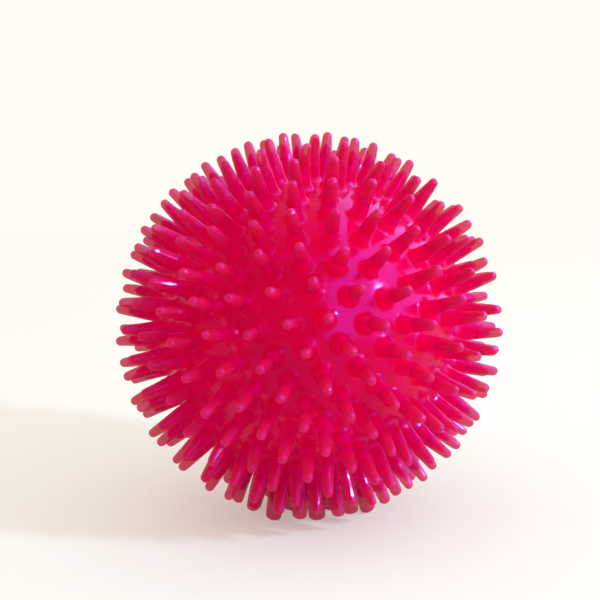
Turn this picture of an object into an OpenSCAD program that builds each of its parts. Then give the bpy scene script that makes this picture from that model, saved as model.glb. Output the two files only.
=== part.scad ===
// Soft spiky sensory ball: two welded skin halves with a shake-activated light inside.
// The ball stands on three spike tips, +Z up, with the floor at Z = 0 under its centre.
// Most modules work in the mould frame: Z along the line through the poles, ball centre at 0.

/* [Ball] */
// Diameter of the round body under the spikes
body_d = 57.5; // [50:0.5:80]
// Thickness of the soft skin
skin_wall = 2.5; // [2:0.1:4]
// Height of the weld bead above the body
bead_h = 0.3; // [0.1:0.05:0.8]
// Width of the weld bead across both halves
bead_w = 0.8; // [0.4:0.1:2]
// Turn of the ball about the vertical
ball_yaw = -25; // [-180:1:180]

/* [Spikes] */
// Length of a spike above the body
spike_len = 8.75; // [6:0.25:14]
// Diameter of a spike's flared root
root_d = 4.2; // [3.8:0.1:4.6]
// Height of the flare at the root
flare_h = 1.4; // [0.8:0.1:3]
// Diameter of a spike just above its flare
shaft_d = 3.2; // [2.4:0.1:3.6]
// Diameter of a spike's rounded tip
tip_d = 1.8; // [1.2:0.1:2.2]
// Depth that a spike's root reaches into the skin
root_depth = 0.8; // [0.5:0.1:1.5]
// Rows of spikes from the middle row to each pole
rows_per_half = 8; // [6:1:8]
// Spacing of the spikes along the middle row
middle_pitch = 5; // [4.8:0.1:7]
// Spacing of the spikes along the rows near the poles
pole_pitch = 7; // [5:0.1:9]

/* [Socket] */
// Height of the socket's rim below the ball's centre
rim_drop = 3; // [2:0.5:5]
// Thickness of the socket's wall
socket_wall = 1.8; // [1.2:0.1:3]
// Gap between the capsule's stem and the socket, on the diameter
socket_clearance = 0.1; // [0.05:0.05:0.3]

/* [Capsule] */
// Outer diameter of the capsule's head
head_d = 16; // [15.5:0.1:18]
// Thickness of the capsule's walls and floors
capsule_wall = 1.2; // [1:0.1:1.4]
// Thickness of the stem's wall, which has a slot for the contact strip
stem_wall = 1.6; // [1.4:0.1:2]
// Height of the head from its shoulder to its rim
head_h = 5; // [4.6:0.1:6]
// Width of the ledge that the board rests on
ledge_w = 0.8; // [0.5:0.1:1]
// Height of the ledge above the head's floor
ledge_h = 1.2; // [1:0.1:2]
// Length of the dome's spigot inside the rim
spigot_h = 1; // [0.6:0.1:1.2]
// Thickness of the dome's spigot
spigot_wall = 0.5; // [0.4:0.1:0.6]
// Gap between the spigot and the head, on the diameter
spigot_clearance = 0.2; // [0.1:0.05:0.4]

/* [Cells] */
// Diameter of a button cell
cell_d = 7.9; // [7:0.1:8.5]
// Height of a button cell
cell_h = 3.6; // [2.6:0.1:4]
// Diameter of a cell's smaller cap
cell_cap_d = 6; // [5:0.1:6.5]
// Height of a cell's smaller cap
cell_cap_h = 0.5; // [0.3:0.1:0.8]
// Bevel on a cell's edges
cell_bevel = 0.2; // [0.1:0.05:0.3]
// Gap round the cells in the stem, on the diameter
cell_clearance = 0.3; // [0.2:0.1:0.6]
// Thickness of the contact strips
strip_t = 0.25; // [0.15:0.05:0.3]
// Width of the contact strips
strip_w = 1.5; // [1:0.1:1.8]
// Diameter of the contact strips' pads
pad_d = 5.6; // [4:0.1:6]
// Depth of the strip's slot in the stem wall
slot_depth = 0.9; // [0.8:0.05:1]
// Gap on each side of the strip in its slot
slot_clearance = 0.2; // [0.1:0.05:0.3]
// Space between the top cell and the board
cell_headroom = 0.8; // [0.6:0.1:1]

/* [Board] */
// Thickness of the circuit board
board_t = 1; // [0.8:0.1:1.2]
// Gap round the board in the head, on the diameter
board_clearance = 0.3; // [0.2:0.1:0.5]
// Diameter of a lamp's lens
led_d = 3; // [2.6:0.1:3.1]
// Height of a lamp's straight part, with its flange
led_h = 3.3; // [2.8:0.1:3.4]
// Diameter of a lamp's flange
flange_d = 3.8; // [3.4:0.1:3.9]
// Height of a lamp's flange
flange_h = 0.9; // [0.6:0.1:1.2]
// Distance of the lamps from the board's centre
led_ring_r = 4; // [3.9:0.05:4.1]
// Diameter of a lamp's legs
leg_d = 0.5; // [0.4:0.05:0.6]
// Spacing of a lamp's two legs
leg_pitch = 2.54; // [2:0.02:2.6]
// Length of the legs below the board
leg_tail = 0.4; // [0.2:0.05:0.5]
// Gap round legs and pin in the board's holes, on the diameter
hole_clearance = 0.3; // [0.2:0.05:0.4]
// Diameter of the controller's round potting blob
blob_d = 3.4; // [2.6:0.1:3.6]
// Height of the potting blob
blob_h = 1.1; // [0.8:0.1:1.4]
// Length of the chip resistor
resistor_l = 1.6; // [1.2:0.1:2]
// Width of the chip resistor
resistor_w = 0.8; // [0.6:0.1:1.2]
// Height of the chip resistor
resistor_h = 0.45; // [0.3:0.05:0.6]

/* [Shake switch] */
// Diameter of the switch pin
pin_d = 0.7; // [0.5:0.1:0.9]
// Height of the pin above the board
pin_h = 5.2; // [4:0.1:5.6]
// Diameter of the spring along the middle of its wire
spring_d = 2.4; // [2:0.1:2.8]
// Diameter of the spring's wire
wire_d = 0.28; // [0.2:0.02:0.3]
// Number of turns
spring_turns = 7; // [5:1:8]
// Rise of the spring in one turn
spring_pitch = 0.75; // [0.72:0.01:0.8]
// Gap between the spring and the board
spring_gap = 0.3; // [0.2:0.05:0.4]

/* [Hidden] */
$fn = 48;
cut = 0.1;
skin_red = [0.8, 0.03, 0.25];
clear_plastic = [0.9, 0.92, 0.94];
metal = [0.78, 0.77, 0.74];

body_r = body_d / 2;
inner_r = body_r - skin_wall;
reach = body_r + spike_len;
tip_r = tip_d / 2;

// Heights in the mould frame, from the socket's rim up and down
shoulder_z = -rim_drop;
ledge_z = shoulder_z + capsule_wall + ledge_h;
board_top = ledge_z + board_t;
head_rim_z = shoulder_z + head_h;
cell_top = ledge_z - cell_headroom;
cell_count = 3;
cell_base = cell_top - cell_count * cell_h;
stem_floor_z = cell_base - strip_t;
stem_base = stem_floor_z - capsule_wall;
spring_base = board_top + spring_gap + wire_d / 2;

// Diameters of the capsule's steps
well_d = cell_d + cell_clearance;
stem_d = well_d + 2 * stem_wall;
head_bore_d = head_d - 2 * capsule_wall;
board_d = head_bore_d - board_clearance;
spigot_d = head_bore_d - spigot_clearance;
dome_inner_d = spigot_d - 2 * spigot_wall;
socket_bore_d = stem_d + socket_clearance;
socket_d = socket_bore_d + 2 * socket_wall;

// Where the parts stand round the board
red_angle = 0;
green_angle = 90;
blue_angle = 180;
blob_angle = 270;
resistor_angle = 315;
slot_angle = 45;
resistor_r = 4.4;

// Turn of each spike row: the upper list starts at the middle row, the lower one under it.
// The ball rests on one spike of rest_row and on the pair beside it in the row below.
upper_turn = [2, 9, 7, 0, 3, 5, 20, 40, 0];
lower_turn = [2, 0, 0, 4, 9, 12, 30, 0];
rest_row = -2;
pair_row = rest_row - 1;

function row_latitude(row) = row * 90 / rows_per_half;

function row_pitch(row) =
    middle_pitch + (pole_pitch - middle_pitch) * pow(sin(row_latitude(row)), 4);

function row_count(row) =
    abs(row) == rows_per_half
        ? 1
        : max(3, round(2 * PI * body_r * cos(row_latitude(row)) / row_pitch(row)));

function row_turn(row) =
    row == rest_row ? 0
    : row == pair_row ? 180 / row_count(row)
    : row >= 0 ? upper_turn[row]
    : lower_turn[-row - 1];

function direction(latitude, azimuth) = [
    cos(latitude) * cos(azimuth),
    cos(latitude) * sin(azimuth),
    sin(latitude)
];

// Attitude at rest: the plane through the three resting tips is level
rest_single = direction(row_latitude(rest_row), 0);
rest_left = direction(row_latitude(pair_row), row_turn(pair_row));
rest_right = direction(row_latitude(pair_row), -row_turn(pair_row));
rest_normal = cross(rest_right - rest_single, rest_left - rest_single);
rest_down = rest_normal / norm(rest_normal) * sign(rest_normal * rest_single);
rest_tilt = 90 + atan2(rest_down[2], rest_down[0]);
centre_h = (reach - tip_r) * (rest_single * rest_down) + tip_r;

module placed() {
    translate([0, 0, centre_h])
        rotate([0, 0, ball_yaw])
            rotate([0, rest_tilt, 0])
                children();
}

// Half outline of a spike: root in the skin, flare, straight taper and rounded tip,
// which ends in a small flat at tip_arc
flare_steps = 3;
tip_steps = 3;
tip_arc = 75;
tip_centre = spike_len - tip_r;
spike_turn = 37;
spike_outline = concat(
    [[0, -root_depth], [root_d / 2, -root_depth]],
    [
        for (i = [0 : flare_steps])
            let (t = i / flare_steps)
            [shaft_d / 2 + (root_d - shaft_d) / 2 * pow(1 - t, 2), flare_h * t]
    ],
    [
        for (i = [0 : tip_steps])
            let (a = tip_arc * i / tip_steps)
            [tip_r * cos(a), tip_centre + tip_r * sin(a)]
    ],
    [[0, tip_centre + tip_r * sin(tip_arc)]]
);

module spike(sweep, turn) {
    translate([0, 0, body_r])
        rotate([0, 0, turn])
            rotate_extrude(angle = sweep)
                polygon(spike_outline);
}

module spike_row(row) {
    step = 360 / row_count(row);
    for (i = [0 : row_count(row) - 1])
        rotate([0, 90 - row_latitude(row), row_turn(row) + i * step])
            spike(360, spike_turn);
}

// The middle row is split by the weld: this is its half above the weld plane
module half_spike_row() {
    step = 360 / row_count(0);
    for (i = [0 : row_count(0) - 1])
        rotate([0, 90, row_turn(0) + i * step])
            spike(180, 90);
}

// The lower half of the middle row is the upper one mirrored in the weld plane
module below() {
    mirror([0, 0, 1])
        children();
}

// The round body is tilted and turned so that its own pole and seam lie between spikes
shell_tilt = 45 / rows_per_half;
shell_turn = 41;

module half_shell() {
    difference() {
        rotate([0, shell_tilt, shell_turn])
            difference() {
                sphere(body_r);
                sphere(inner_r);
            }
        translate([0, 0, -body_r])
            cube([3 * body_r, 3 * body_r, 2 * body_r], center = true);
    }
    rotate_extrude()
        polygon([
            [body_r - skin_wall / 2, 0],
            [body_r + bead_h, 0],
            [body_r + bead_h / 2, bead_w / 2],
            [body_r - skin_wall / 2, bead_w / 2]
        ]);
}

module skin_upper() {
    color(skin_red)
        placed() {
            half_shell();
            half_spike_row();
            for (row = [1 : rows_per_half])
                spike_row(row);
        }
}

// Tube on the inside of the lower pole, which holds the capsule's stem
module socket() {
    foot_z = -inner_r - skin_wall / 4;
    floor_z = -inner_r + skin_wall / 4;
    difference() {
        translate([0, 0, foot_z])
            cylinder(d = socket_d, h = shoulder_z - foot_z);
        translate([0, 0, floor_z])
            cylinder(d = socket_bore_d, h = shoulder_z - floor_z + cut);
    }
}

module skin_lower() {
    color(skin_red)
        placed() {
            below() {
                half_shell();
                half_spike_row();
            }
            for (row = [1 : rows_per_half])
                spike_row(-row);
            socket();
        }
}

module capsule_cup() {
    slot_w = strip_w + 2 * slot_clearance;
    color(clear_plastic)
        placed()
            difference() {
                union() {
                    translate([0, 0, stem_base])
                        cylinder(d = stem_d, h = shoulder_z - stem_base + cut);
                    translate([0, 0, shoulder_z])
                        cylinder(d = head_d, h = head_h);
                }
                translate([0, 0, stem_floor_z])
                    cylinder(d = well_d, h = ledge_z - stem_floor_z);
                translate([0, 0, shoulder_z + capsule_wall])
                    cylinder(d = head_bore_d - 2 * ledge_w, h = head_h);
                translate([0, 0, ledge_z])
                    cylinder(d = head_bore_d, h = head_h);
                rotate([0, 0, slot_angle])
                    translate([0, -slot_w / 2, stem_floor_z])
                        cube([well_d / 2 + slot_depth, slot_w, ledge_z - stem_floor_z]);
            }
}

module capsule_dome() {
    color(clear_plastic)
        placed()
            translate([0, 0, head_rim_z])
                difference() {
                    union() {
                        difference() {
                            sphere(d = head_d);
                            translate([0, 0, -head_d / 2])
                                cube([2 * head_d, 2 * head_d, head_d], center = true);
                        }
                        translate([0, 0, -spigot_h])
                            cylinder(d = spigot_d, h = spigot_h + cut);
                    }
                    sphere(d = dome_inner_d);
                    translate([0, 0, -spigot_h - cut])
                        cylinder(d = dome_inner_d, h = spigot_h + cut);
                }
}

// Places of a lamp's two legs, on a line square to the board's radius
module at_legs(angle) {
    rotate([0, 0, angle])
        for (side = [-1, 1])
            translate([led_ring_r, side * leg_pitch / 2, 0])
                children();
}

module circuit_board() {
    color("seagreen")
        placed()
            difference() {
                translate([0, 0, ledge_z])
                    cylinder(d = board_d, h = board_t);
                translate([0, 0, ledge_z - cut]) {
                    cylinder(d = pin_d + hole_clearance, h = board_t + 2 * cut);
                    for (angle = [red_angle, green_angle, blue_angle])
                        at_legs(angle)
                            cylinder(d = leg_d + hole_clearance, h = board_t + 2 * cut);
                }
            }
}

// Rounded drop of the given width and height, standing on Z = 0
module cap_dome(d, h) {
    steps = 6;
    rotate_extrude()
        polygon(concat(
            [[0, 0]],
            [for (i = [0 : steps]) [d / 2 * cos(90 * i / steps), h * sin(90 * i / steps)]]
        ));
}

module controller_blob() {
    color("black")
        placed()
            rotate([0, 0, blob_angle])
                translate([led_ring_r, 0, board_top])
                    cap_dome(blob_d, blob_h);
}

module chip_resistor() {
    color("dimgray")
        placed()
            rotate([0, 0, resistor_angle])
                translate([resistor_r, 0, board_top + resistor_h / 2])
                    cube([resistor_w, resistor_l, resistor_h], center = true);
}

module led_lens(angle) {
    placed()
        rotate([0, 0, angle])
            translate([led_ring_r, 0, board_top]) {
                cylinder(d = flange_d, h = flange_h);
                difference() {
                    union() {
                        cylinder(d = led_d, h = led_h);
                        translate([0, 0, led_h])
                            sphere(d = led_d);
                    }
                    translate([0, 0, -led_d])
                        cube(2 * led_d, center = true);
                }
            }
}

module led_legs(angle) {
    color(metal)
        placed()
            translate([0, 0, ledge_z - leg_tail])
                at_legs(angle)
                    cylinder(d = leg_d, h = board_t + leg_tail);
}

module red_led() { color("red") led_lens(red_angle); }
module green_led() { color("lime") led_lens(green_angle); }
module blue_led() { color("blue") led_lens(blue_angle); }

module red_led_legs() { led_legs(red_angle); }
module green_led_legs() { led_legs(green_angle); }
module blue_led_legs() { led_legs(blue_angle); }

// Can above, smaller cap below
module button_cell(index) {
    color(metal)
        placed()
            translate([0, 0, cell_base + index * cell_h])
                rotate_extrude()
                    polygon([
                        [0, 0],
                        [cell_cap_d / 2, 0],
                        [cell_cap_d / 2, cell_cap_h],
                        [cell_d / 2 - cell_bevel, cell_cap_h],
                        [cell_d / 2, cell_cap_h + cell_bevel],
                        [cell_d / 2, cell_h - cell_bevel],
                        [cell_d / 2 - cell_bevel, cell_h],
                        [0, cell_h]
                    ]);
}

module button_cell_1() { button_cell(0); }
module button_cell_2() { button_cell(1); }
module button_cell_3() { button_cell(2); }

// Pad on the top cell with a tab up to the board
module positive_strip() {
    tab_x = pad_d / 2 - strip_t;
    color(metal)
        placed()
            rotate([0, 0, slot_angle + 180])
                translate([0, 0, cell_top]) {
                    cylinder(d = pad_d, h = strip_t);
                    translate([tab_x - strip_t, -strip_w / 2, 0])
                        cube([strip_t, strip_w, cell_headroom]);
                }
}

// Pad under the lowest cell, an arm into the slot and a riser up to the board
module negative_strip() {
    riser_x = well_d / 2 + slot_depth - slot_clearance - strip_t;
    color(metal)
        placed()
            rotate([0, 0, slot_angle])
                translate([0, 0, stem_floor_z]) {
                    cylinder(d = pad_d, h = strip_t);
                    translate([0, -strip_w / 2, 0])
                        cube([riser_x + strip_t, strip_w, strip_t]);
                    translate([riser_x, -strip_w / 2, 0])
                        cube([strip_t, strip_w, ledge_z - stem_floor_z]);
                }
}

module shake_pin() {
    color(metal)
        placed()
            translate([0, 0, ledge_z - leg_tail])
                cylinder(d = pin_d, h = board_t + leg_tail + pin_h);
}

// Helix of the shake spring, with its wire swept as one tube
spring_sides = 6;
rings_per_turn = 8;
ring_last = spring_turns * rings_per_turn;
rise_per_ring = spring_pitch / rings_per_turn;
helix_slope = atan2(spring_pitch, PI * spring_d);

function helix_point(i) =
    let (a = 360 * i / rings_per_turn)
    [spring_d / 2 * cos(a), spring_d / 2 * sin(a), rise_per_ring * i];

function wire_point(i, side) =
    let (
        a = 360 * i / rings_per_turn,
        u = 360 * side / spring_sides,
        outward = [cos(a), sin(a), 0],
        upward = [sin(a) * sin(helix_slope), -cos(a) * sin(helix_slope), cos(helix_slope)]
    )
    helix_point(i) + wire_d / 2 * (cos(u) * outward + sin(u) * upward);

function wire_index(i, side) = i * spring_sides + side % spring_sides;

wire_points = [
    for (i = [0 : ring_last], side = [0 : spring_sides - 1]) wire_point(i, side)
];
wire_faces = concat(
    [
        for (i = [0 : ring_last - 1], side = [0 : spring_sides - 1])
            each [
                [wire_index(i, side), wire_index(i, side + 1), wire_index(i + 1, side)],
                [wire_index(i, side + 1), wire_index(i + 1, side + 1), wire_index(i + 1, side)]
            ]
    ],
    [for (side = [1 : spring_sides - 2]) [0, side + 1, side]],
    [
        for (side = [1 : spring_sides - 2])
            [
                wire_index(ring_last, 0),
                wire_index(ring_last, side),
                wire_index(ring_last, side + 1)
            ]
    ]
);

spring_least_gap = min([
    for (i = [0 : ring_last], j = [0 : ring_last])
        if (j >= i + rings_per_turn / 2)
            norm(helix_point(i) - helix_point(j)) - wire_d
]);
echo(spring_least_gap = spring_least_gap);

module shake_spring() {
    color(metal)
        placed()
            translate([0, 0, spring_base])
                polyhedron(wire_points, wire_faces);
}

skin_upper();
skin_lower();
capsule_cup();
capsule_dome();
circuit_board();
controller_blob();
chip_resistor();
red_led();
green_led();
blue_led();
red_led_legs();
green_led_legs();
blue_led_legs();
button_cell_1();
button_cell_2();
button_cell_3();
positive_strip();
negative_strip();
shake_spring();
shake_pin();
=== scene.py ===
import math
import bpy
import numpy as np
from mathutils import Matrix, Vector
from mathutils.geometry import delaunay_2d_cdt


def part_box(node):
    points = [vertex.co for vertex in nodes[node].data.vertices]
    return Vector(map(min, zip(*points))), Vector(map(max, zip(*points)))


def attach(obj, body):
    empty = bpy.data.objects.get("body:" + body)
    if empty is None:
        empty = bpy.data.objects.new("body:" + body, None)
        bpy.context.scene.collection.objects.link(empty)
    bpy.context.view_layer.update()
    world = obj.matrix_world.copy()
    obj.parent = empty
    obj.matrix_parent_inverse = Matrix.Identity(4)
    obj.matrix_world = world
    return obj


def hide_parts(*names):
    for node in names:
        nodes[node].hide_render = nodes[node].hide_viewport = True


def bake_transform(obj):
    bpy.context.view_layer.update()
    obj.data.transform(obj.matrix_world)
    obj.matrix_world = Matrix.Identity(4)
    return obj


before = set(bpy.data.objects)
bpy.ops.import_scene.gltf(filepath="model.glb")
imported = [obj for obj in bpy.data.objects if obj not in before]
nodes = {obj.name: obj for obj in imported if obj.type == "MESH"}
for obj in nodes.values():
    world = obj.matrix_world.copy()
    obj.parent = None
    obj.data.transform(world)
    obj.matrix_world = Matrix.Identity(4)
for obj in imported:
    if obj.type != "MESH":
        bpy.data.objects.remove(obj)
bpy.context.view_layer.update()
mm = 0.001
print("frame loaded:", len(nodes), "nodes")


# sRGB hex to linear, as Blender's colour sockets want it
def hexLinear(code):
    parts = [int(code[i:i + 2], 16) / 255 for i in (1, 3, 5)]
    return tuple(c / 12.92 if c <= 0.04045 else ((c + 0.055) / 1.055) ** 2.4 for c in parts) + (1.0,)


# adds one shader node: each value goes on the property or socket that its key names,
# and a value that is another node's socket is linked; a Mix of colours takes them
# at inputs 6 and 7 and gives its colour at output 2
def addNode(tree, kind, values=None):
    node = tree.nodes.new("ShaderNode" + kind)
    for key, value in (values or {}).items():
        if isinstance(value, bpy.types.NodeSocket):
            tree.links.new(value, node.inputs[key])
        elif isinstance(key, int) or key in node.inputs:
            node.inputs[key].default_value = value
        else:
            setattr(node, key, value)
    return node


noiseSpread = (0.3, 0.7)    # nearly all of a noise's values lie between these


def newMaterial(name):
    material = bpy.data.materials.new(name)
    material.use_nodes = True
    tree = material.node_tree
    tree.nodes.clear()
    return material, tree


def newMesh(name, points, faces, material):
    mesh = bpy.data.meshes.new(name)
    mesh.from_pydata([tuple(p) for p in points], [], faces)
    mesh.validate()
    mesh.polygons.foreach_set("use_smooth", [True] * len(mesh.polygons))
    mesh.materials.append(material)
    piece = bpy.data.objects.new(name, mesh)
    bpy.context.scene.collection.objects.link(piece)
    return piece


# where the spikes stand, in the mould's frame: Z through the poles, ball centre at 0;
# millimetres and degrees
ball = {
    "bodyDia": 57.5,
    "spikeLen": 8.75,
    "tipRadius": 0.9,
    "rows": 8,             # from the weld to each pole
    "fewest": 3,           # spikes in a row beside a pole
    "middlePitch": 5.0,
    "polePitch": 7.0,
    "pitchPower": 4,       # the higher, the later the pitch widens towards the poles
    "yaw": -25.0,
    "restRow": -2,         # one spike of this row and two of the row below carry the ball
    "upperTurn": [2, 9, 7, 0, 3, 5, 20, 40, 0],
    "lowerTurn": [2, 0, 0, 4, 9, 12, 30, 0],
}
bodyR = ball["bodyDia"] / 2
reach = bodyR + ball["spikeLen"]
tipRadius = ball["tipRadius"]
tipCentre = ball["spikeLen"] - tipRadius


def rowLat(row):
    return row * 90 / ball["rows"]


def rowCount(row):
    if abs(row) == ball["rows"]:
        return 1
    lat = math.radians(rowLat(row))
    widening = (ball["polePitch"] - ball["middlePitch"]) * math.sin(lat) ** ball["pitchPower"]
    around = 2 * math.pi * bodyR * math.cos(lat)
    return max(ball["fewest"], math.floor(around / (ball["middlePitch"] + widening) + 0.5))


def rowTurn(row):
    if row == ball["restRow"]:
        return 0
    if row == ball["restRow"] - 1:
        return 180 / rowCount(row)
    return ball["upperTurn"][row] if row >= 0 else ball["lowerTurn"][-row - 1]


def direction(lat, turn):
    a, b = math.radians(lat), math.radians(turn)
    return np.array([math.cos(a) * math.cos(b), math.cos(a) * math.sin(b), math.sin(a)])


spikeDirs = np.array([
    direction(rowLat(row), rowTurn(row) + i * 360 / rowCount(row))
    for row in range(-ball["rows"], ball["rows"] + 1) for i in range(rowCount(row))
])

# the three tips that carry the ball set how it leans
single = direction(rowLat(ball["restRow"]), 0)
pairTurn = rowTurn(ball["restRow"] - 1)
left = direction(rowLat(ball["restRow"] - 1), pairTurn)
right = direction(rowLat(ball["restRow"] - 1), -pairTurn)
down = np.cross(right - single, left - single)
down *= np.sign(down @ single) / np.linalg.norm(down)
tilt = math.pi / 2 + math.atan2(down[2], down[0])
centreHeight = ((reach - tipRadius) * (single @ down) + tipRadius) * mm
yawTurn = Matrix.Rotation(math.radians(ball["yaw"]), 4, "Z")
toPart = Matrix.Translation((0, 0, centreHeight)) @ yawTurn @ Matrix.Rotation(tilt, 4, "Y")
turnPart = np.array(toPart.to_3x3())
ballCentre = Vector((0, 0, centreHeight))
print("ball laid out:", len(spikeDirs), "spikes, centre at", round(centreHeight / mm, 2), "mm")


# from millimetres in the mould's frame to metres in the part's
def placeInPart(points):
    return points * mm @ turnPart.T + np.array(ballCentre)


# translucent TPR, injection moulded: wet-looking gloss over a skin that light sinks into,
# so the body glows evenly and the thin ends of the spikes let pale light through
tpr = {
    "body": "#F20062",
    # the shaft's darker red is painted shade: it is the same TPR as the body, darkened so that the thin,
    # well lit shafts match the body shaded between the spikes
    "shaft": "#DA004C",        # of the gel, while the core keeps the body's colour
    # the tip's paler pink is painted light: it stands in for light showing through the thin spike ends
    "tip": "#D21E60",
    "weld": "#FF2878",
    "gloss": "#B36FFF",
    "shaftOver": (0.02, 0.4),  # shares of a spike's length over which the shaft's colour comes in
    "tipOver": (0.5, 1.0),     # and the tip's
    "rough": 0.07,
    "ior": 1.5,
    "cloudSize": 14.0,         # mm, faint clouding of the melt
    "cloudDetail": 2.0,
    "cloudTone": (0.9, 1.05),
    "grainSize": 0.9,          # mm, mould texture, drawn coarser than real so that it shows
    "grainDetail": 3.0,
    "grainDepth": 0.05,        # mm
    "grainShare": 0.25,
    "sink": 22.0,              # mm, how far red light travels inside the body
    "gelSink": 5.0,            # and inside a spike's end
    "sinkShares": (1.0, 0.25, 0.35),
    "gelOver": (0.2, 0.74),    # shares of a spike's length over which the gel covers the core
    "tipClear": 0.065,         # share of light that goes straight through a spike's end
}


def tprMaterial(name, isGel):
    material, tree = newMaterial(name)
    height = addNode(tree, "Attribute", {"attribute_name": "spikeHeight"}).outputs["Fac"]
    place = addNode(tree, "TexCoord").outputs["Object"]
    # colour along a spike, with the gel's darker shaft as painted shade and the paler tip as painted
    # light, then the weld's line, then the clouds
    tone = hexLinear(tpr["body"])
    for part in ("shaft", "tip") if isGel else ("tip",):
        share = addNode(tree, "MapRange", {
            "Value": height,
            "From Min": tpr[part + "Over"][0],
            "From Max": tpr[part + "Over"][1],
        })
        tone = addNode(tree, "Mix", {
            "data_type": "RGBA",
            "Factor": share.outputs["Result"],
            6: tone,
            7: hexLinear(tpr[part]),
        }).outputs[2]
    if not isGel:
        onWeld = addNode(tree, "Attribute", {"attribute_name": "weldLine"})
        tone = addNode(tree, "Mix", {
            "data_type": "RGBA",
            "Factor": onWeld.outputs["Fac"],
            6: tone,
            7: hexLinear(tpr["weld"]),
        }).outputs[2]
    cloud = addNode(tree, "TexNoise", {
        "Vector": place,
        "Scale": 1 / (tpr["cloudSize"] * mm),
        "Detail": tpr["cloudDetail"],
    })
    cloudTone = addNode(tree, "MapRange", {
        "Value": cloud.outputs["Fac"],
        "From Min": noiseSpread[0],
        "From Max": noiseSpread[1],
        "To Min": tpr["cloudTone"][0],
        "To Max": tpr["cloudTone"][1],
    })
    tone = addNode(tree, "Mix", {
        "data_type": "RGBA",
        "blend_type": "MULTIPLY",
        "Factor": 1.0,
        6: tone,
        7: cloudTone.outputs["Result"],
    }).outputs[2]
    grain = addNode(tree, "TexNoise", {
        "Vector": place,
        "Scale": 1 / (tpr["grainSize"] * mm),
        "Detail": tpr["grainDetail"],
    })
    grainBump = addNode(tree, "Bump", {
        "Height": grain.outputs["Fac"],
        "Strength": tpr["grainShare"],
        "Distance": tpr["grainDepth"] * mm,
    })
    shader = addNode(tree, "BsdfPrincipled", {
        "Base Color": tone,
        "Subsurface Weight": 1.0,
        "Subsurface Radius": tpr["sinkShares"],
        "Subsurface Scale": tpr["gelSink" if isGel else "sink"] * mm,
        "Roughness": tpr["rough"],
        "IOR": tpr["ior"],
        "Specular Tint": hexLinear(tpr["gloss"]),
        "Normal": grainBump.outputs["Normal"],
    }).outputs["BSDF"]
    if isGel:
        # the gel fades in from the root, and its far wall is left out so that each spike counts once
        opening = addNode(tree, "MapRange", {
            "interpolation_type": "SMOOTHSTEP",
            "Value": height,
            "From Min": tpr["gelOver"][0],
            "From Max": tpr["gelOver"][1],
            "To Min": 1.0,
            "To Max": tpr["tipClear"],
        })
        wall = addNode(tree, "NewGeometry")
        through = addNode(tree, "Math", {
            "operation": "MAXIMUM",
            0: opening.outputs["Result"],
            1: wall.outputs["Backfacing"],
        })
        clear = addNode(tree, "BsdfTransparent", {"Color": hexLinear("#FFFFFF")})
        shader = addNode(tree, "MixShader", {
            0: through.outputs[0],
            1: shader,
            2: clear.outputs[0],
        }).outputs[0]
    addNode(tree, "OutputMaterial", {"Surface": shader})
    return material


skinMaterial = tprMaterial("translucentTprMoulded", False)
gelMaterial = tprMaterial("clearTprSpikeEnds", True)


# what all spikes share; millimetres
spikes = {
    "sides": 16,
    "nearPole": 0.99,      # height on the unit sphere past which a spike counts as upright
    "rootRadius": 2.05,
    "flareHeight": 1.4,
    "flarePower": 3,
    "shaftRadius": 1.6,
    "seed": 11,
    "lean": 0.35,          # how far soft tips stray
    "leanBelow": 3,        # tips this near the floor stray less
    "bendPower": 1.6,      # the higher, the more of a spike's bend is near its tip
    "footReach": 1.6,      # tips this near the floor bend down to it
    "footSpread": 0.4,
    "swellBelow": 6.0,     # tips this near the floor are pressed together and swell
    "swell": 1.0,          # share of the radius
    "floorGap": 0.02,
}


def shaftRadiusAt(h):
    if h < spikes["flareHeight"]:
        rise = (1 - h / spikes["flareHeight"]) ** spikes["flarePower"]
        return spikes["shaftRadius"] + (spikes["rootRadius"] - spikes["shaftRadius"]) * rise
    t = (h - spikes["flareHeight"]) / (tipCentre - spikes["flareHeight"])
    return spikes["shaftRadius"] + (tipRadius - spikes["shaftRadius"]) * t


# a unit circle of points round each spike's line
roundAngles = np.arange(spikes["sides"]) * 2 * math.pi / spikes["sides"]
spikeRounds = []
for d in spikeDirs:
    side = np.cross([0, 0, 1], d) if abs(d[2]) < spikes["nearPole"] else np.array([1.0, 0, 0])
    side /= np.linalg.norm(side)
    other = np.cross(d, side)
    spikeRounds.append(np.outer(np.cos(roundAngles), side) + np.outer(np.sin(roundAngles), other))

# how near the floor each tip is, and how much it swells there
outwards = spikeDirs @ turnPart.T
tipLows = centreHeight / mm + (reach - tipRadius) * outwards[:, 2] - tipRadius
spikeSwell = spikes["swell"] * np.clip(1 - tipLows / spikes["swellBelow"], 0, 1)

# how each tip strays: a little at random, or down to the floor where it nearly stands on it
dice = np.random.RandomState(spikes["seed"])
spikeLean = []
for d, outward, tipLow in zip(spikeDirs, outwards, tipLows):
    stray = dice.normal(0, 1, 3)
    stray -= d * (stray @ d)
    stray *= spikes["lean"] * min(1.0, tipLow / spikes["leanBelow"])
    if tipLow < spikes["footReach"]:
        stray = turnPart.T @ np.array([*(outward[:2] * spikes["footSpread"]), -tipLow])
    spikeLean.append(stray)


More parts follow.
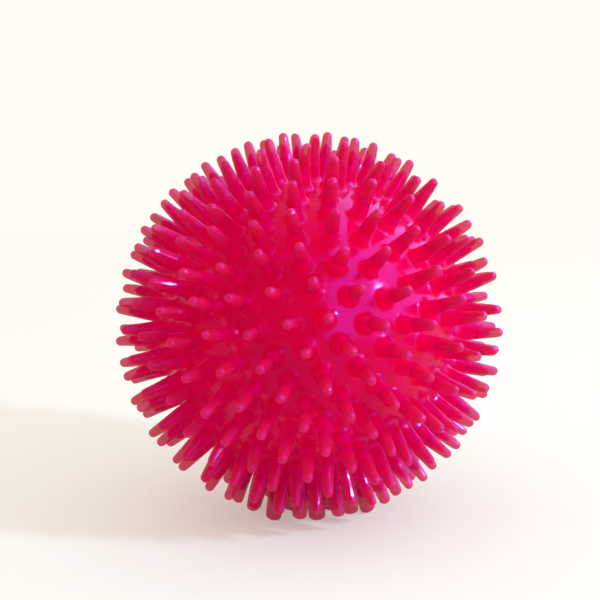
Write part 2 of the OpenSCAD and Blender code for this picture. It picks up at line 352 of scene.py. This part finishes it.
# rings of one spike from a first ring of points, closed at its end
def addSpike(i, first, profile, end, points, heights, faces):
    sides, d = spikes["sides"], spikeDirs[i]
    total = sum(len(p) for p in points)
    lower = first
    for h, r in profile:
        share = h / ball["spikeLen"]
        bend = spikeLean[i] * share ** spikes["bendPower"]
        points.append((bodyR + h) * d + r * (1 + spikeSwell[i] * share) * spikeRounds[i] + bend)
        heights.append(np.full(sides, share))
        upper = list(range(total, total + sides))
        for j in range(sides):
            k = (j + 1) % sides
            faces.append((lower[j], lower[k], upper[k], upper[j]))
        total += sides
        lower = upper
    share = end / ball["spikeLen"]
    points.append(((bodyR + end) * d + spikeLean[i] * share ** spikes["bendPower"])[None])
    heights.append(np.full(1, share))
    faces += [(lower[j], lower[(j + 1) % sides], total) for j in range(sides)]


def addShares(piece, name, shares):
    shares = np.asarray(shares, np.float32)
    piece.data.attributes.new(name, "FLOAT", "POINT").data.foreach_set("value", shares)


def finishSkin(name, points, heights, faces, material):
    place = placeInPart(np.concatenate(points))
    place[:, 2] = np.maximum(place[:, 2], spikes["floorGap"] * mm)
    piece = newMesh(name, place, faces, material)
    addShares(piece, "spikeHeight", np.concatenate(heights))
    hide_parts("skin_upper", "skin_lower")
    return piece


# the body with the spikes' red cores, one closed surface; millimetres
body = {
    "flareSteps": (0.2, 0.45, 0.7, 1.0),   # shares of the flare's height
    "coreInset": 0.05,     # keeps the core inside the gel
    "coreSteps": (         # share of the spike's length, share of its radius there
        (0.28, 0.98), (0.4, 0.965), (0.5, 0.94), (0.6, 0.86), (0.67, 0.66), (0.71, 0.36),
    ),
    "coreEnd": 0.73,       # share of the spike's length
    "beadHeight": 0.3,
    "beadHalfWidth": 0.4,
    "beadRounding": 0.75,
    "flashTurn": 267.3,    # degrees, nub of flash on the weld
    "flashHeight": 0.45,
    "flashHalfLength": 0.9,
    "splitWithin": 1e-6,   # height on the unit sphere up to which the weld splits a spike
    "weldOnSpike": 0.4,    # how strongly the weld's line goes on up a split spike
    "collar": 2.35,        # radius of a ring of points round each root
    "collarRoom": 1.1,     # how many collar radii other points stay away
    "fillSpacing": 1.0,    # between the points of the rest
    "weldRoom": 1.3,       # half width of the strip whose points lie in lines along the weld
    "weldLines": (-0.9, -0.4, -0.2, 0, 0.2, 0.4, 0.9),
    "weldPoints": 360,
    "mergeWithin": 1e-7,
}


# rings of points on the unit sphere round every spike's line
def ringsAt(radius):
    angle = math.asin(radius / bodyR)
    return np.concatenate([
        math.cos(angle) * d + math.sin(angle) * around for d, around in zip(spikeDirs, spikeRounds)
    ])


# points on the unit sphere between the spikes: an even spiral, and lines along the weld
def fillPoints():
    count = int(4 * math.pi * bodyR ** 2 / body["fillSpacing"] ** 2)
    k = np.arange(count) + 0.5
    z = 1 - 2 * k / count
    turn = k * math.pi * (3 - math.sqrt(5))
    wide = np.sqrt(1 - z * z)
    spiral = np.stack([wide * np.cos(turn), wide * np.sin(turn), z], 1)
    groups = [spiral[np.abs(z) * bodyR > body["weldRoom"]]]
    number = body["weldPoints"]
    for s in body["weldLines"]:
        # each line has a turn of its own, so that its points aren't in step with its neighbours'
        turn = np.arange(number) * 2 * math.pi / number + s
        lat = s / bodyR
        level = np.full(number, math.sin(lat))
        groups.append(np.stack([math.cos(lat) * np.cos(turn), math.cos(lat) * np.sin(turn), level], 1))
    fill = np.concatenate(groups)
    nearest = math.cos(math.asin(body["collar"] / bodyR) * body["collarRoom"])
    return fill[(fill @ spikeDirs.T).max(1) < nearest]


def makeBody():
    sides = spikes["sides"]
    roots = ringsAt(spikes["rootRadius"])
    base = np.concatenate([roots, ringsAt(body["collar"]), fillPoints()])
    owner = np.full(len(base), -1)
    owner[:len(roots)] = np.repeat(np.arange(len(spikeDirs)), sides)
    # flat picture of the sphere seen from the lower pole keeps its nearest-neighbour triangles
    flat = base[:, :2] / (1 + base[:, 2:3])
    edges = [
        (i * sides + j, i * sides + (j + 1) % sides)
        for i in range(len(spikeDirs)) for j in range(sides)
    ]
    cut = delaunay_2d_cdt([Vector(p) for p in flat], edges, [], 0, body["mergeWithin"])
    outFaces, source = cut[2], cut[3]
    faces = []
    for face in outFaces:
        ids = [source[i][0] for i in face]
        # a face between points of one root would close it under its spike
        if owner[ids[0]] < 0 or len(set(owner[ids])) > 1:
            faces.append(ids)
    fromWeld = np.arcsin(base[:, 2]) * bodyR
    onWeld = np.exp(-(fromWeld / (body["beadHalfWidth"] * body["beadRounding"])) ** 2)
    turned = np.arctan2(base[:, 1], base[:, 0]) - math.radians(body["flashTurn"])
    turned = (turned + math.pi) % (2 * math.pi) - math.pi
    flash = body["flashHeight"] * np.exp(-(turned * bodyR / body["flashHalfLength"]) ** 2)
    points = [base * (bodyR + onWeld * (body["beadHeight"] + flash))[:, None]]
    heights = [np.zeros(len(base))]
    profile = []
    for t in body["flareSteps"]:
        h = spikes["flareHeight"] * t
        profile.append((h, shaftRadiusAt(h) - body["coreInset"] * t))
    for share, width in body["coreSteps"]:
        h = ball["spikeLen"] * share
        profile.append((h, shaftRadiusAt(h) * width))
    for i in range(len(spikeDirs)):
        root = list(range(i * sides, (i + 1) * sides))
        addSpike(i, root, profile, ball["spikeLen"] * body["coreEnd"], points, heights, faces)
    piece = finishSkin("spikySkin", points, heights, faces, skinMaterial)
    weld = np.zeros(len(piece.data.vertices), np.float32)
    weld[:len(base)] = onWeld
    # the line goes on up both sides of the spikes that the weld splits
    perSpike = len(profile) * sides + 1
    for i in np.flatnonzero(np.abs(spikeDirs[:, 2]) < body["splitWithin"]):
        first = len(base) + i * perSpike
        rings = weld[first:first + perSpike - 1].reshape(-1, sides)
        rings[:, [0, sides // 2]] = body["weldOnSpike"]
    addShares(piece, "weldLine", weld)
    return piece


# the clearer gel round the cores, a piece of its own so that light goes through it; millimetres
gel = {
    "start": 0.5,             # height of its lower end, inside the core
    "firstRing": (0.6, 1.1),  # height and radius
    "shoulder": (0.9, 0.2),   # height and inset of the next ring
    "shaftRings": 6,
    "tipAngles": (20, 40, 60, 76),
}


def makeGel():
    sides = spikes["sides"]
    points, heights, faces = [], [], []
    ringHeight, ringRadius = gel["firstRing"]
    shoulder, inset = gel["shoulder"]
    flareRadius = shaftRadiusAt(spikes["flareHeight"])
    profile = [(shoulder, flareRadius - inset), (spikes["flareHeight"], flareRadius)]
    shaftHeights = np.linspace(spikes["flareHeight"], tipCentre, gel["shaftRings"] + 1)[1:]
    profile += [(h, shaftRadiusAt(h)) for h in shaftHeights]
    for angle in gel["tipAngles"]:
        a = math.radians(angle)
        profile.append((tipCentre + tipRadius * math.sin(a), tipRadius * math.cos(a)))
    total = 0
    for i, d in enumerate(spikeDirs):
        points.append(((bodyR + gel["start"]) * d)[None])
        points.append((bodyR + ringHeight) * d + ringRadius * spikeRounds[i])
        heights.append(np.zeros(sides + 1))
        first = list(range(total + 1, total + 1 + sides))
        faces += [(first[(j + 1) % sides], first[j], total) for j in range(sides)]
        addSpike(i, first, profile, ball["spikeLen"], points, heights, faces)
        total += 1 + sides * (len(profile) + 1) + 1
    return finishSkin("spikeGel", points, heights, faces, gelMaterial)


for piece in (makeBody(), makeGel()):
    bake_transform(piece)
    print("skin made:", piece.name, len(piece.data.vertices), "points")


# what is inside, each material by what it is and how it was made; sizes in mm
insideLooks = [
    # clear polystyrene, moulded: bright and see-through, with faint flow clouds
    {"name": "clearPolystyreneMoulded", "nodes": ["capsule_cup", "capsule_dome"],
     "tones": ("#F7FAFB", "#E3ECF1"), "size": 6.0, "rough": (0.04, 0.12), "bump": 0.01,
     "clear": 0.95, "ior": 1.59},
    # glass-epoxy board under solder mask: satin green with the cloth's weave showing through
    {"name": "glassEpoxyMasked", "nodes": ["circuit_board"],
     "tones": ("#1F7A45", "#13552F"), "size": 0.5, "rough": (0.28, 0.42), "bump": 0.015,
     "pattern": "weave", "ior": 1.55},
    # black epoxy, potted as a drop: satin dome with slow dimples
    {"name": "blackEpoxyPotted", "nodes": ["controller_blob"],
     "tones": ("#171412", "#26211E"), "size": 0.9, "rough": (0.3, 0.5), "bump": 0.02, "ior": 1.55},
    # alumina chip, fired and glazed black, with tinned ends
    {"name": "aluminaChipTinned", "nodes": ["chip_resistor"],
     "tones": ("#1B1C1F", "#2B2D31"), "size": 0.25, "rough": (0.3, 0.45), "bump": 0.005,
     "pattern": "ends", "endTone": "#D2D0C8", "endFrom": 0.5, "turn": 45, "ior": 1.7},
    # tinted epoxy, cast: clear coloured lenses with a slight cloud
    {"name": "redEpoxyCast", "nodes": ["red_led"],
     "tones": ("#E8201C", "#C41410"), "size": 1.2, "rough": (0.05, 0.14), "bump": 0.005,
     "clear": 0.6, "ior": 1.53},
    {"name": "greenEpoxyCast", "nodes": ["green_led"],
     "tones": ("#28C83C", "#189C2C"), "size": 1.2, "rough": (0.05, 0.14), "bump": 0.005,
     "clear": 0.6, "ior": 1.53},
    {"name": "blueEpoxyCast", "nodes": ["blue_led"],
     "tones": ("#2850E6", "#1838B4"), "size": 1.2, "rough": (0.05, 0.14), "bump": 0.005,
     "clear": 0.6, "ior": 1.53},
    # copper wire, drawn and tinned: soft silver with duller spots
    {"name": "tinnedCopperDrawn",
     "nodes": ["red_led_legs", "green_led_legs", "blue_led_legs", "shake_pin"],
     "tones": ("#D6D3CB", "#B4B0A6"), "size": 0.3, "rough": (0.22, 0.42), "bump": 0.004, "metal": 1.0},
    # steel cans, pressed and nickel plated: bright with handling haze
    {"name": "nickelledSteelPressed", "nodes": ["button_cell_1", "button_cell_2", "button_cell_3"],
     "tones": ("#CFCBC2", "#B3AEA4"), "size": 1.5, "rough": (0.16, 0.38), "bump": 0.004, "metal": 1.0},
    # bronze strip, rolled and tin plated: warm silver with cloudy wear
    {"name": "platedBronzeRolled", "nodes": ["positive_strip", "negative_strip"],
     "tones": ("#D8CDB4", "#BCAE92"), "size": 0.6, "rough": (0.2, 0.4), "bump": 0.004, "metal": 1.0},
    # spring steel, hard drawn: grey with fine mottling, for the coil further down
    {"name": "springSteelDrawn", "nodes": [],
     "tones": ("#A9ABAE", "#7E8084"), "size": 0.2, "rough": (0.2, 0.4), "bump": 0.003, "metal": 1.0},
]
insideFinish = {
    "edgeAngle": 35,       # degrees, sharper edges stay sharp
    "detail": 4.0,
    "bumpShare": 0.6,
}


# threads woven along the mould's two level axes; a wave repeats every pi / 10 / scale
def weave(tree, place, size):
    threads = []
    for axis in (0, 1):
        along = addNode(tree, "VectorMath", {
            "operation": "DOT_PRODUCT",
            0: place,
            1: tuple(turnPart[:, axis]),
        })
        across = addNode(tree, "CombineXYZ", {"X": along.outputs["Value"]})
        wave = addNode(tree, "TexWave", {
            "Vector": across.outputs[0],
            "Scale": math.pi / 10 / (size * mm),
        })
        threads.append(wave.outputs["Fac"])
    return addNode(tree, "Math", {"operation": "MULTIPLY", 0: threads[0], 1: threads[1]}).outputs[0]


# 1 on the ends of the chip, which lies askew on the board, so they are found along its own length
def chipEnds(tree, place, look):
    length = toPart.to_3x3() @ Vector(direction(0, look["turn"]))
    low, high = (Vector(c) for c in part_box(look["nodes"][0]))
    along = addNode(tree, "VectorMath", {
        "operation": "DOT_PRODUCT",
        0: place,
        1: tuple(length),
    })
    fromMiddle = addNode(tree, "Math", {
        "operation": "SUBTRACT",
        0: along.outputs["Value"],
        1: length.dot((low + high) / 2),
    })
    away = addNode(tree, "Math", {"operation": "ABSOLUTE", 0: fromMiddle.outputs[0]})
    onEnd = addNode(tree, "Math", {
        "operation": "GREATER_THAN",
        0: away.outputs[0],
        1: look["endFrom"] * mm,
    })
    return onEnd.outputs[0]


def insideMaterial(look):
    material, tree = newMaterial(look["name"])
    place = addNode(tree, "TexCoord").outputs["Object"]
    pattern = look.get("pattern")
    if pattern == "weave":
        mark = weave(tree, place, look["size"])
    else:
        mark = addNode(tree, "TexNoise", {
            "Vector": place,
            "Scale": 1 / (look["size"] * mm),
            "Detail": insideFinish["detail"],
        }).outputs["Fac"]
    share = addNode(tree, "MapRange", {
        "Value": mark,
        "From Min": noiseSpread[0],
        "From Max": noiseSpread[1],
    }).outputs["Result"]
    tone = addNode(tree, "Mix", {
        "data_type": "RGBA",
        "Factor": share,
        6: hexLinear(look["tones"][0]),
        7: hexLinear(look["tones"][1]),
    }).outputs[2]
    metal = look.get("metal", 0.0)
    if pattern == "ends":
        metal = chipEnds(tree, place, look)
        tone = addNode(tree, "Mix", {
            "data_type": "RGBA",
            "Factor": metal,
            6: tone,
            7: hexLinear(look["endTone"]),
        }).outputs[2]
    rough = addNode(tree, "MapRange", {
        "Value": share,
        "To Min": look["rough"][0],
        "To Max": look["rough"][1],
    })
    bump = addNode(tree, "Bump", {
        "Height": mark,
        "Strength": insideFinish["bumpShare"],
        "Distance": look["bump"] * mm,
    })
    shader = addNode(tree, "BsdfPrincipled", {
        "Base Color": tone,
        "Metallic": metal,
        "Roughness": rough.outputs["Result"],
        "Transmission Weight": look.get("clear", 0.0),
        "Normal": bump.outputs["Normal"],
    })
    if "ior" in look:
        shader.inputs["IOR"].default_value = look["ior"]
    addNode(tree, "OutputMaterial", {"Surface": shader.outputs["BSDF"]})
    return material


insideMaterials = {}
for look in insideLooks:
    insideMaterials[look["name"]] = insideMaterial(look)
    for name in look["nodes"]:
        mesh = nodes[name].data
        mesh.materials.clear()
        mesh.materials.append(insideMaterials[look["name"]])
        mesh.shade_smooth()
        mesh.set_sharp_from_angle(angle=math.radians(insideFinish["edgeAngle"]))
print("inside finished:", sum(len(look["nodes"]) for look in insideLooks), "nodes")


# the shake switch's spring: one smooth round wire wound up the mould's axis, ends rounded; mm
spring = {
    "base": 0.84,          # middle of the wire above the ball's centre
    "coilDia": 2.4,        # along the middle of the wire
    "wireDia": 0.28,
    "turns": 7,
    "pitch": 0.75,
    "ringsPerTurn": 32,
    "sides": 12,
    "endSteps": ((-0.9, 0.44), (-0.5, 0.87)),  # shares of the wire's radius: past the end, across
}


def makeSpring():
    sides, wireR = spring["sides"], spring["wireDia"] / 2
    slope = math.atan2(spring["pitch"], math.pi * spring["coilDia"])
    stations = [(0.0, past, width) for past, width in spring["endSteps"]]
    for k in range(spring["turns"] * spring["ringsPerTurn"] + 1):
        stations.append((k / spring["ringsPerTurn"], 0.0, 1.0))
    stations += [(float(spring["turns"]), -past, width) for past, width in reversed(spring["endSteps"])]
    points = []
    for turns, past, width in stations:
        a = 2 * math.pi * turns
        outward = np.array([math.cos(a), math.sin(a), 0])
        level = np.array([-math.sin(a), math.cos(a), 0])
        climb = np.array([0, 0, 1.0])
        along = level * math.cos(slope) + climb * math.sin(slope)
        upward = np.cross(outward, along)
        middle = outward * spring["coilDia"] / 2 + climb * (spring["base"] + spring["pitch"] * turns)
        middle += along * past * wireR
        for j in range(sides):
            u = 2 * math.pi * j / sides
            points.append(middle + wireR * width * (math.cos(u) * outward + math.sin(u) * upward))
    faces = []
    for k in range(len(stations) - 1):
        for j in range(sides):
            near, far = k * sides + j, k * sides + (j + 1) % sides
            faces.append((near, near + sides, far + sides, far))
    last = (len(stations) - 1) * sides
    faces += [tuple(range(sides)), tuple(last + j for j in reversed(range(sides)))]
    wire = insideMaterials["springSteelDrawn"]
    return newMesh("coiledSpring", placeInPart(np.array(points)), faces, wire)


coil = makeSpring()
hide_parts("shake_spring")
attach(coil, "shaker")
print("spring made:", len(coil.data.vertices), "points")


# camera: the photograph's place, close and a little above
view = {
    "fromCentre": 0.249,       # m
    "elevation": 11.56,        # degrees, as are the next two
    "azimuth": 0.39,
    "roll": -0.94,
    "picture": 600,            # pixels across the photograph
    "focal": 1274.5,           # pixels
    "ballAt": (308.9, 324.7),  # pixel of the ball's centre
    "sensor": 36,              # mm
    "nearest": 0.01,           # m
}
up, turn, roll = (math.radians(view[k]) for k in ("elevation", "azimuth", "roll"))
back = Vector((math.sin(turn) * math.cos(up), -math.cos(turn) * math.cos(up), math.sin(up)))
across = Matrix.Rotation(roll, 3, back) @ Vector((math.cos(turn), math.sin(turn), 0))
upward = back.cross(across)
offX, offY = (pixel - view["picture"] / 2 for pixel in view["ballAt"])
forward = (upward * offY - across * offX - back * view["focal"]).normalized()
across = (across - forward * across.dot(forward)).normalized()
cameraData = bpy.data.cameras.new("photoCamera")
cameraData.sensor_width = view["sensor"]
cameraData.lens = view["sensor"] * view["focal"] / view["picture"]
cameraData.clip_start = view["nearest"]
camera = bpy.data.objects.new("photoCamera", cameraData)
camera.location = ballCentre + back * view["fromCentre"]
camera.rotation_mode = "QUATERNION"
axes = Matrix((across, across.cross(forward), -forward)).transposed()
camera.rotation_quaternion = axes.to_quaternion()
bpy.context.scene.collection.objects.link(camera)
bpy.context.scene.camera = camera


# 1 for rays that show a surface, 0 for those that only carry its light
def showingRays(tree, rays):
    direct = addNode(tree, "Math", {
        "operation": "MAXIMUM",
        0: rays["Is Camera Ray"],
        1: rays["Is Glossy Ray"],
    })
    showing = addNode(tree, "Math", {
        "operation": "MAXIMUM",
        0: direct.outputs[0],
        1: rays["Is Transmission Ray"],
    })
    return showing.outputs[0]


# floor painted pale and matt: plain, and it fades into the white backdrop
stageLook = {
    "white": "#FFFCF5",
    "floor": "#D9DDE5",
    "lift": 0.355,         # glow that showing rays see, so that the lit floor reads white
    "bounce": 0.12,        # the same for light that goes back up to the ball
    "glossDim": 0.55,      # how much less of the floor the gloss shows
    "fade": (0.15, 0.6),   # m from the ball
    "radius": 2,           # m
    "sides": 48,
}
white = hexLinear(stageLook["white"])


def floorMaterial():
    material, tree = newMaterial("paintedPaleFloor")
    place = addNode(tree, "TexCoord").outputs["Object"]
    away = addNode(tree, "VectorMath", {"operation": "LENGTH", 0: place})
    fade = addNode(tree, "MapRange", {
        "interpolation_type": "SMOOTHSTEP",
        "Value": away.outputs["Value"],
        "From Min": stageLook["fade"][0],
        "From Max": stageLook["fade"][1],
    })
    rays = addNode(tree, "LightPath").outputs
    showing = showingRays(tree, rays)
    lift = addNode(tree, "MapRange", {
        "Value": showing,
        "To Min": stageLook["bounce"],
        "To Max": stageLook["lift"],
    })
    matt = addNode(tree, "BsdfDiffuse", {"Color": hexLinear(stageLook["floor"])})
    glow = addNode(tree, "Emission", {"Color": white, "Strength": lift.outputs["Result"]})
    near = addNode(tree, "AddShader", {0: matt.outputs[0], 1: glow.outputs[0]})
    far = addNode(tree, "Emission", {"Color": white, "Strength": showing})
    faded = addNode(tree, "MixShader", {
        0: fade.outputs["Result"],
        1: near.outputs[0],
        2: far.outputs[0],
    })
    dark = addNode(tree, "Emission", {"Strength": 0.0})
    dim = addNode(tree, "Math", {
        "operation": "MULTIPLY",
        0: rays["Is Glossy Ray"],
        1: stageLook["glossDim"],
    })
    dimmed = addNode(tree, "MixShader", {
        0: dim.outputs[0],
        1: faded.outputs[0],
        2: dark.outputs[0],
    })
    addNode(tree, "OutputMaterial", {"Surface": dimmed.outputs[0]})
    return material


def makeFloor():
    sides, radius = stageLook["sides"], stageLook["radius"]
    points = [(0, 0, 0)]
    for i in range(sides):
        a = 2 * math.pi * i / sides
        points.append((radius * math.cos(a), radius * math.sin(a), 0))
    faces = [(0, i + 1, (i + 1) % sides + 1) for i in range(sides)]
    return newMesh("floor", points, faces, floorMaterial())


floor = makeFloor()

# the room lights evenly and shows white behind the ball; gloss sees it dimmer, most of all on the
# camera's side, and sees a wide lilac card of soft light on the right
room = {
    "level": 0.8,
    "lightTone": (1.0, 0.9, 0.74, 1.0),   # linear
    "gloss": 0.4,
    "frontGloss": 0.1,
    "glossOver": (-0.6, 0.3),   # from the camera's side to the back, as the direction's share
    "card": "#A89CFF",
    "cardLevel": 4.4,
    "cardSide": (0.12, 0.36),   # where the card starts, as the direction's share to the right
    "cardFoot": (-0.2, 0.05),   # and its lower edge, as the share upward
}


def makeRoom():
    world = bpy.data.worlds.new("paleRoom")
    bpy.context.scene.world = world
    world.use_nodes = True
    tree = world.node_tree
    tree.nodes.clear()
    rays = addNode(tree, "LightPath").outputs
    outward = addNode(tree, "TexCoord").outputs["Generated"]
    ways = addNode(tree, "SeparateXYZ", {0: outward}).outputs
    cardEdges = []
    for way, edge in (("X", "cardSide"), ("Z", "cardFoot")):
        cardEdges.append(addNode(tree, "MapRange", {
            "interpolation_type": "SMOOTHSTEP",
            "Value": ways[way],
            "From Min": room[edge][0],
            "From Max": room[edge][1],
        }).outputs["Result"])
    onCard = addNode(tree, "Math", {"operation": "MULTIPLY", 0: cardEdges[0], 1: cardEdges[1]})
    glossLevel = addNode(tree, "MapRange", {
        "Value": ways["Y"],
        "From Min": room["glossOver"][0],
        "From Max": room["glossOver"][1],
        "To Min": room["frontGloss"],
        "To Max": room["gloss"],
    })
    lit = addNode(tree, "Background", {"Color": room["lightTone"], "Strength": room["level"]})
    behind = addNode(tree, "Background", {"Color": white})
    dimmed = addNode(tree, "Background", {"Color": white, "Strength": glossLevel.outputs["Result"]})
    card = addNode(tree, "Background", {"Color": hexLinear(room["card"]), "Strength": room["cardLevel"]})
    inGloss = addNode(tree, "MixShader", {
        0: onCard.outputs[0],
        1: dimmed.outputs[0],
        2: card.outputs[0],
    })
    shown = addNode(tree, "MixShader", {
        0: rays["Is Glossy Ray"],
        1: behind.outputs[0],
        2: inGloss.outputs[0],
    })
    surround = addNode(tree, "MixShader", {
        0: showingRays(tree, rays),
        1: lit.outputs[0],
        2: shown.outputs[0],
    })
    addNode(tree, "OutputWorld", {"Surface": surround.outputs[0]})


makeRoom()

# soft studio light: a panel and a smaller key on the right, which light but don't show in the gloss,
# and a point of light that shows only there, for the sparks at the spikes' roots; linear colours
lamps = {
    "panel": {"aim": (0.807, -0.142, 0.574), "away": 0.75, "size": (1.35, 0.87), "power": 0.4,
              "colour": (0.7, 0.95, 1.0), "gloss": False, "lights": True},
    "key": {"aim": (0.787, -0.401, 0.469), "away": 0.9, "size": (0.08, 0.08), "power": 3.6,
            "colour": (0.7, 0.95, 1.0), "gloss": False, "lights": True},
    "spark": {"aim": (0.787, -0.401, 0.469), "away": 0.9, "size": (0.03, 0.03), "power": 30.0,
              "colour": (1.0, 1.0, 1.0), "gloss": True, "lights": False},
}
for name, lamp in lamps.items():
    data = bpy.data.lights.new(name, "AREA")
    data.shape = "RECTANGLE"
    data.size, data.size_y = lamp["size"]
    data.energy = lamp["power"]
    data.color = lamp["colour"]
    light = bpy.data.objects.new(name, data)
    aim = Vector(lamp["aim"]).normalized()
    light.location = ballCentre + aim * lamp["away"]
    light.rotation_mode = "QUATERNION"
    light.rotation_quaternion = (-aim).to_track_quat("-Z", "Y")
    light.visible_camera = False
    light.visible_glossy = lamp["gloss"]
    light.visible_diffuse = lamp["lights"]
    bpy.context.scene.collection.objects.link(light)
bpy.context.scene.view_settings.view_transform = "Standard"
print("stage, camera and lamps set")
